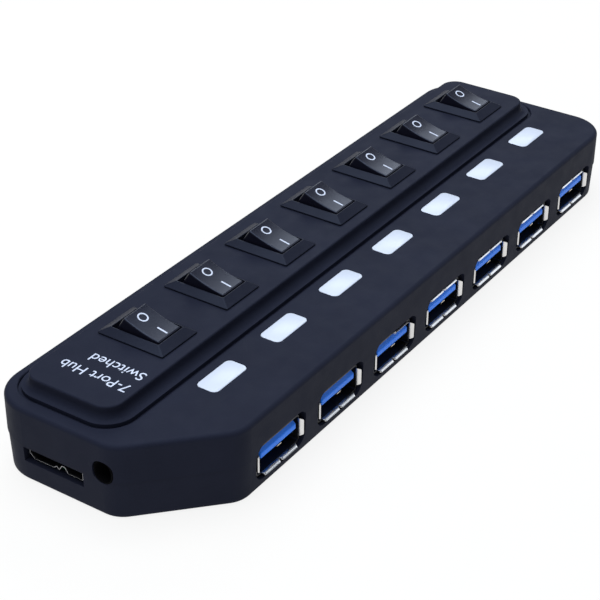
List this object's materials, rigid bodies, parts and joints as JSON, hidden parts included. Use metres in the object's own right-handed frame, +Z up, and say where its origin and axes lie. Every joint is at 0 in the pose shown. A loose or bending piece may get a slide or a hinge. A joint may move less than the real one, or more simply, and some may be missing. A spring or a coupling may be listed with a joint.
{
  "type": "usb hub",
  "caption": "Powered desktop USB hub: flat case with a row of USB-A sockets along one side, a lit window and a rocker switch for each, micro-B uplink and DC socket at the end.",
  "frame": {"origin": "centre of the underside, on the resting plane", "axes": "+X along the length, away from the connector end; +Y away from the USB-A sockets; +Z up"},
  "size_m": [0.1616, 0.0442, 0.0224],
  "materials": {
    "case": "fine texture",
    "switch_plastic": "satin gloss",
    "rocker_plastic": "gloss",
    "light_guide": "translucent white",
    "white_print": "pad print",
    "tongue_blue": "satin",
    "inner_plastic": "moulded",
    "shell_metal": "nickel plated",
    "contact_metal": "plated",
    "can_metal": "satin",
    "screw_metal": "black zinc",
    "board": "solder mask",
    "chip": "moulded"
  },
  "bodies": {
    "hub": {"top_cover": "case", "bottom_cover": "case", "main_board": "board", "hub_controllers": "chip", "crystal": "can_metal", "capacitors": "can_metal", "indicator_leds": "light_guide", "switch_terminals": "contact_metal", "port_contacts": "contact_metal", "uplink_shell": "shell_metal", "uplink_tongues": "inner_plastic", "power_jack": "inner_plastic", "power_pin": "shell_metal", "power_spring": "contact_metal", "case_screws": "screw_metal", "port_shell_1": "shell_metal", "port_shell_2": "shell_metal", "port_shell_3": "shell_metal", "port_shell_4": "shell_metal", "port_shell_5": "shell_metal", "port_shell_6": "shell_metal", "port_shell_7": "shell_metal", "port_tongue_1": "tongue_blue", "port_tongue_2": "tongue_blue", "port_tongue_3": "tongue_blue", "port_tongue_4": "tongue_blue", "port_tongue_5": "tongue_blue", "port_tongue_6": "tongue_blue", "port_tongue_7": "tongue_blue", "light_window_1": "light_guide", "light_window_2": "light_guide", "light_window_3": "light_guide", "light_window_4": "light_guide", "light_window_5": "light_guide", "light_window_6": "light_guide", "light_window_7": "light_guide", "switch_frame_1": "switch_plastic", "switch_frame_2": "switch_plastic", "switch_frame_3": "switch_plastic", "switch_frame_4": "switch_plastic", "switch_frame_5": "switch_plastic", "switch_frame_6": "switch_plastic", "switch_frame_7": "switch_plastic"},
    "rocker_body_1": {"rocker_1": "rocker_plastic"},
    "rocker_body_2": {"rocker_2": "rocker_plastic"},
    "rocker_body_3": {"rocker_3": "rocker_plastic"},
    "rocker_body_4": {"rocker_4": "rocker_plastic"},
    "rocker_body_5": {"rocker_5": "rocker_plastic"},
    "rocker_body_6": {"rocker_6": "rocker_plastic"},
    "rocker_body_7": {"rocker_7": "rocker_plastic"}
  },
  "joints": [
    {"name": "rocker_1_tilt", "type": "hinge", "parent": "hub", "child": "rocker_body_1", "pos_m": [-0.05291, 0.0075, 0.01716], "axis": [-1, 0, 0], "range_deg": [0, 32]},
    {"name": "rocker_2_tilt", "type": "hinge", "parent": "hub", "child": "rocker_body_2", "pos_m": [-0.03344, 0.0075, 0.01716], "axis": [-1, 0, 0], "range_deg": [0, 32]},
    {"name": "rocker_3_tilt", "type": "hinge", "parent": "hub", "child": "rocker_body_3", "pos_m": [-0.01397, 0.0075, 0.01716], "axis": [-1, 0, 0], "range_deg": [0, 32]},
    {"name": "rocker_4_tilt", "type": "hinge", "parent": "hub", "child": "rocker_body_4", "pos_m": [0.0055, 0.0075, 0.01716], "axis": [-1, 0, 0], "range_deg": [0, 32]},
    {"name": "rocker_5_tilt", "type": "hinge", "parent": "hub", "child": "rocker_body_5", "pos_m": [0.02497, 0.0075, 0.01716], "axis": [-1, 0, 0], "range_deg": [0, 32]},
    {"name": "rocker_6_tilt", "type": "hinge", "parent": "hub", "child": "rocker_body_6", "pos_m": [0.04444, 0.0075, 0.01716], "axis": [-1, 0, 0], "range_deg": [0, 32]},
    {"name": "rocker_7_tilt", "type": "hinge", "parent": "hub", "child": "rocker_body_7", "pos_m": [0.06391, 0.0075, 0.01716], "axis": [-1, 0, 0], "range_deg": [0, 32]}
  ]
}
